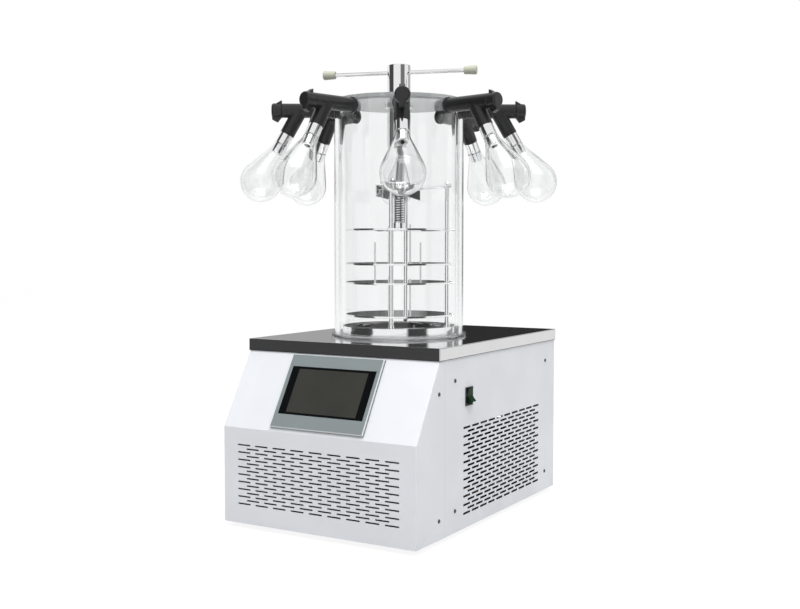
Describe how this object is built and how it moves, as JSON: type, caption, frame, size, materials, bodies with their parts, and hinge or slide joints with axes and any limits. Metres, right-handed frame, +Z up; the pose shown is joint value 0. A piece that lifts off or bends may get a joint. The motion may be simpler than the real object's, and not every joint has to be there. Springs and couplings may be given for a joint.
{
  "type": "freeze dryer",
  "caption": "Benchtop freeze dryer with a clear drying chamber, a screw press over stacked shelves, a ring of valves with flasks, and a touch screen.",
  "frame": {"origin": "on the floor, under the axis of the chamber", "axes": "+Z up along the chamber axis; the sloping front with the screen faces -Y; the power switch is on the +X side"},
  "size_m": [0.665, 0.665, 0.954],
  "materials": {
    "white_paint": "satin powder coat",
    "galvanised_steel": "dull zinc",
    "stainless_steel": "satin",
    "polished_steel": "polished",
    "screw_steel": "plain",
    "chrome": "polished",
    "black_rubber": "matt",
    "valve_rubber": "satin",
    "seal_rubber": "satin, pale",
    "grip_rubber": "matt, grey green",
    "screen_grey": "satin, blue grey",
    "screen_glass": "gloss",
    "inner_plastic": "matt",
    "black_plastic": "satin",
    "green_plastic": "gloss",
    "red_plastic": "satin",
    "foam": "rigid foam, closed cells",
    "copper": "bright copper",
    "brass": "plain brass",
    "black_paint": "satin",
    "aluminium_fins": "plain",
    "clear_acrylic": "clear",
    "clear_glass": "clear"
  },
  "bodies": {
    "cabinet": {"chassis": "galvanised_steel", "rubber_feet": "black_rubber", "front_cover": "white_paint", "side_panel_left": "white_paint", "side_panel_right": "white_paint", "rear_panel": "white_paint", "top_plate": "polished_steel", "cabinet_screws": "screw_steel", "screen_frame": "screen_grey", "screen_glass": "screen_glass", "screen_housing": "inner_plastic", "switch_frame": "black_plastic", "trap_vessel": "stainless_steel", "trap_foam": "foam", "evaporator_coil": "copper", "compressor": "black_paint", "condenser": "aluminium_fins", "fan_shroud": "galvanised_steel", "fan_motor": "black_paint", "refrigerant_pipes": "copper", "control_box": "inner_plastic", "vacuum_port": "stainless_steel", "drain_pipe": "copper", "drain_valve": "brass", "power_inlet": "black_plastic", "seal_ring": "seal_rubber", "chamber_cylinder": "clear_acrylic", "chamber_lid": "clear_acrylic", "lid_bushing": "stainless_steel", "bridge_plate": "stainless_steel", "bridge_nut": "stainless_steel", "rack_posts": "stainless_steel", "post_nuts": "stainless_steel", "rack_base": "polished_steel", "shelf_4": "polished_steel", "shelf_3_pins": "stainless_steel", "valve_bodies": "valve_rubber", "valve_adapters": "chrome", "sample_flasks": "clear_glass"},
    "rocker": {"switch_rocker": "green_plastic"},
    "fan": {"fan_blades": "inner_plastic"},
    "drain_lever": {"drain_lever": "red_plastic"},
    "handle": {"handle_tube": "chrome", "handle_bar": "chrome", "handle_caps": "grip_rubber"},
    "screw": {"press_screw": "stainless_steel"},
    "press": {"press_foot": "stainless_steel"},
    "shelf_1": {"shelf_1": "polished_steel"},
    "shelf_2": {"shelf_2": "polished_steel", "shelf_1_pins": "stainless_steel"},
    "shelf_3": {"shelf_3": "polished_steel", "shelf_2_pins": "stainless_steel"},
    "valve_knob_1": {"valve_knob_1": "valve_rubber"},
    "valve_knob_2": {"valve_knob_2": "valve_rubber"},
    "valve_knob_3": {"valve_knob_3": "valve_rubber"},
    "valve_knob_4": {"valve_knob_4": "valve_rubber"},
    "valve_knob_5": {"valve_knob_5": "valve_rubber"},
    "valve_knob_6": {"valve_knob_6": "valve_rubber"},
    "valve_knob_7": {"valve_knob_7": "valve_rubber"},
    "valve_knob_8": {"valve_knob_8": "valve_rubber"}
  },
  "joints": [
    {"name": "handle_turn", "type": "hinge", "parent": "cabinet", "child": "handle", "pos_m": [0, 0, 0.9], "axis": [0, 0, -1], "range_deg": [0, 2160]},
    {"name": "press_slide", "type": "slide", "parent": "cabinet", "child": "press", "axis": [0, 0, -1], "range_m": [0, 0.03]},
    {"name": "screw_turn", "type": "hinge", "parent": "press", "child": "screw", "pos_m": [0, 0, 0.69], "axis": [0, 0, -1], "range_deg": [0, 2160]},
    {"name": "shelf_1_slide", "type": "slide", "parent": "cabinet", "child": "shelf_1", "axis": [0, 0, -1], "range_m": [0, 0.03]},
    {"name": "shelf_2_slide", "type": "slide", "parent": "cabinet", "child": "shelf_2", "axis": [0, 0, -1], "range_m": [0, 0.02]},
    {"name": "shelf_3_slide", "type": "slide", "parent": "cabinet", "child": "shelf_3", "axis": [0, 0, -1], "range_m": [0, 0.01]},
    {"name": "switch_rock", "type": "hinge", "parent": "cabinet", "child": "rocker", "pos_m": [0.221, -0.1085, 0.2715], "axis": [0, 1, 0], "range_deg": [0, 28]},
    {"name": "fan_spin", "type": "hinge", "parent": "cabinet", "child": "fan", "pos_m": [0, -0.24, 0.0865], "axis": [0, 1, 0], "continuous": true},
    {"name": "drain_turn", "type": "hinge", "parent": "cabinet", "child": "drain_lever", "pos_m": [-0.248, -0.15, 0.09], "axis": [0, 0, -1], "range_deg": [0, 90]},
    {"name": "valve_1_turn", "type": "hinge", "parent": "cabinet", "child": "valve_knob_1", "pos_m": [0.13778, -0.22049, 0.857], "axis": [0.5299, -0.848, 0], "range_deg": [0, 180]},
    {"name": "valve_2_turn", "type": "hinge", "parent": "cabinet", "child": "valve_knob_2", "pos_m": [0.25334, -0.05849, 0.857], "axis": [0.9744, -0.225, 0], "range_deg": [0, 180]},
    {"name": "valve_3_turn", "type": "hinge", "parent": "cabinet", "child": "valve_knob_3", "pos_m": [0.22049, 0.13778, 0.857], "axis": [0.848, 0.5299, 0], "range_deg": [0, 180]},
    {"name": "valve_4_turn", "type": "hinge", "parent": "cabinet", "child": "valve_knob_4", "pos_m": [0.05849, 0.25334, 0.857], "axis": [0.225, 0.9744, 0], "range_deg": [0, 180]},
    {"name": "valve_5_turn", "type": "hinge", "parent": "cabinet", "child": "valve_knob_5", "pos_m": [-0.13778, 0.22049, 0.857], "axis": [-0.5299, 0.848, 0], "range_deg": [0, 180]},
    {"name": "valve_6_turn", "type": "hinge", "parent": "cabinet", "child": "valve_knob_6", "pos_m": [-0.25334, 0.05849, 0.857], "axis": [-0.9744, 0.225, 0], "range_deg": [0, 180]},
    {"name": "valve_7_turn", "type": "hinge", "parent": "cabinet", "child": "valve_knob_7", "pos_m": [-0.22049, -0.13778, 0.857], "axis": [-0.848, -0.5299, 0], "range_deg": [0, 180]},
    {"name": "valve_8_turn", "type": "hinge", "parent": "cabinet", "child": "valve_knob_8", "pos_m": [-0.05849, -0.25334, 0.857], "axis": [-0.225, -0.9744, 0], "range_deg": [0, 180]}
  ],
  "couplings": [
    {"joint": "press_slide", "follows": "handle_turn", "m_per_rad": 0.00079577},
    {"joint": "screw_turn", "follows": "handle_turn", "ratio": 1},
    {"joint": "shelf_1_slide", "follows": "handle_turn", "m_per_rad": 0.00079577},
    {"joint": "shelf_2_slide", "follows": "handle_turn", "m_per_rad": 0.00053052},
    {"joint": "shelf_3_slide", "follows": "handle_turn", "m_per_rad": 0.00026526}
  ]
}
